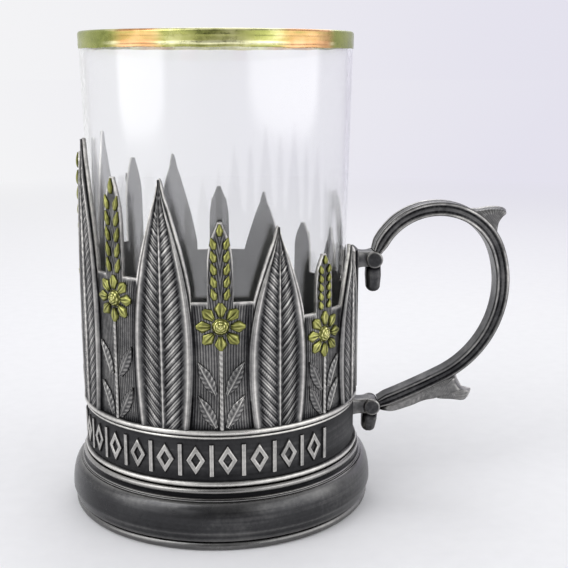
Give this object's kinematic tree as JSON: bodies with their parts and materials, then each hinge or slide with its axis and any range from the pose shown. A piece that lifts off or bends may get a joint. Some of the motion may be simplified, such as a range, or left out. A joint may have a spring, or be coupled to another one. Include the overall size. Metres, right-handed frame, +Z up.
{
  "type": "podstakannik tea glass holder",
  "caption": "Blackened silver tea glass holder with a pierced relief sleeve, stepped foot and bow handle, and its lift-out glass with a gold lip.",
  "frame": {"origin": "centre of the foot's underside, on the axis of the sleeve", "axes": "+Z up along the axis of the sleeve and the glass, +X towards the handle"},
  "size_m": [0.1133, 0.0774, 0.1176],
  "materials": {
    "clear_glass": "polished",
    "gold_on_glass": "polished",
    "blackened_silver": "oxidised, worn bright on the high spots",
    "bright_silver": "satin",
    "gilding": "satin"
  },
  "bodies": {
    "holder": {"sleeve_wall": "blackened_silver", "leaf_relief": "blackened_silver", "flower_petals": "gilding", "gilt_flower_hearts": "gilding", "gilt_wheat_ears": "gilding", "stem_leaves": "blackened_silver", "stems": "bright_silver", "handle_plate": "blackened_silver", "collar_band": "blackened_silver", "band_ornament": "bright_silver", "upper_wire_ring": "bright_silver", "fine_wire_ring": "bright_silver", "lower_wire_ring": "bright_silver", "foot": "blackened_silver", "floor_plate": "blackened_silver", "handle_bow": "blackened_silver", "thumb_leaf": "blackened_silver", "lower_leaf": "blackened_silver", "upper_lug": "blackened_silver", "lower_lug": "blackened_silver", "upper_curl": "blackened_silver", "lower_curl": "blackened_silver"},
    "glass": {"glass_tumbler": "clear_glass", "gilt_rim_band": "gold_on_glass"}
  },
  "joints": [
    {"name": "glass_lift", "type": "slide", "parent": "holder", "child": "glass", "axis": [0, 0, 1], "range_m": [0, 0.09]}
  ]
}
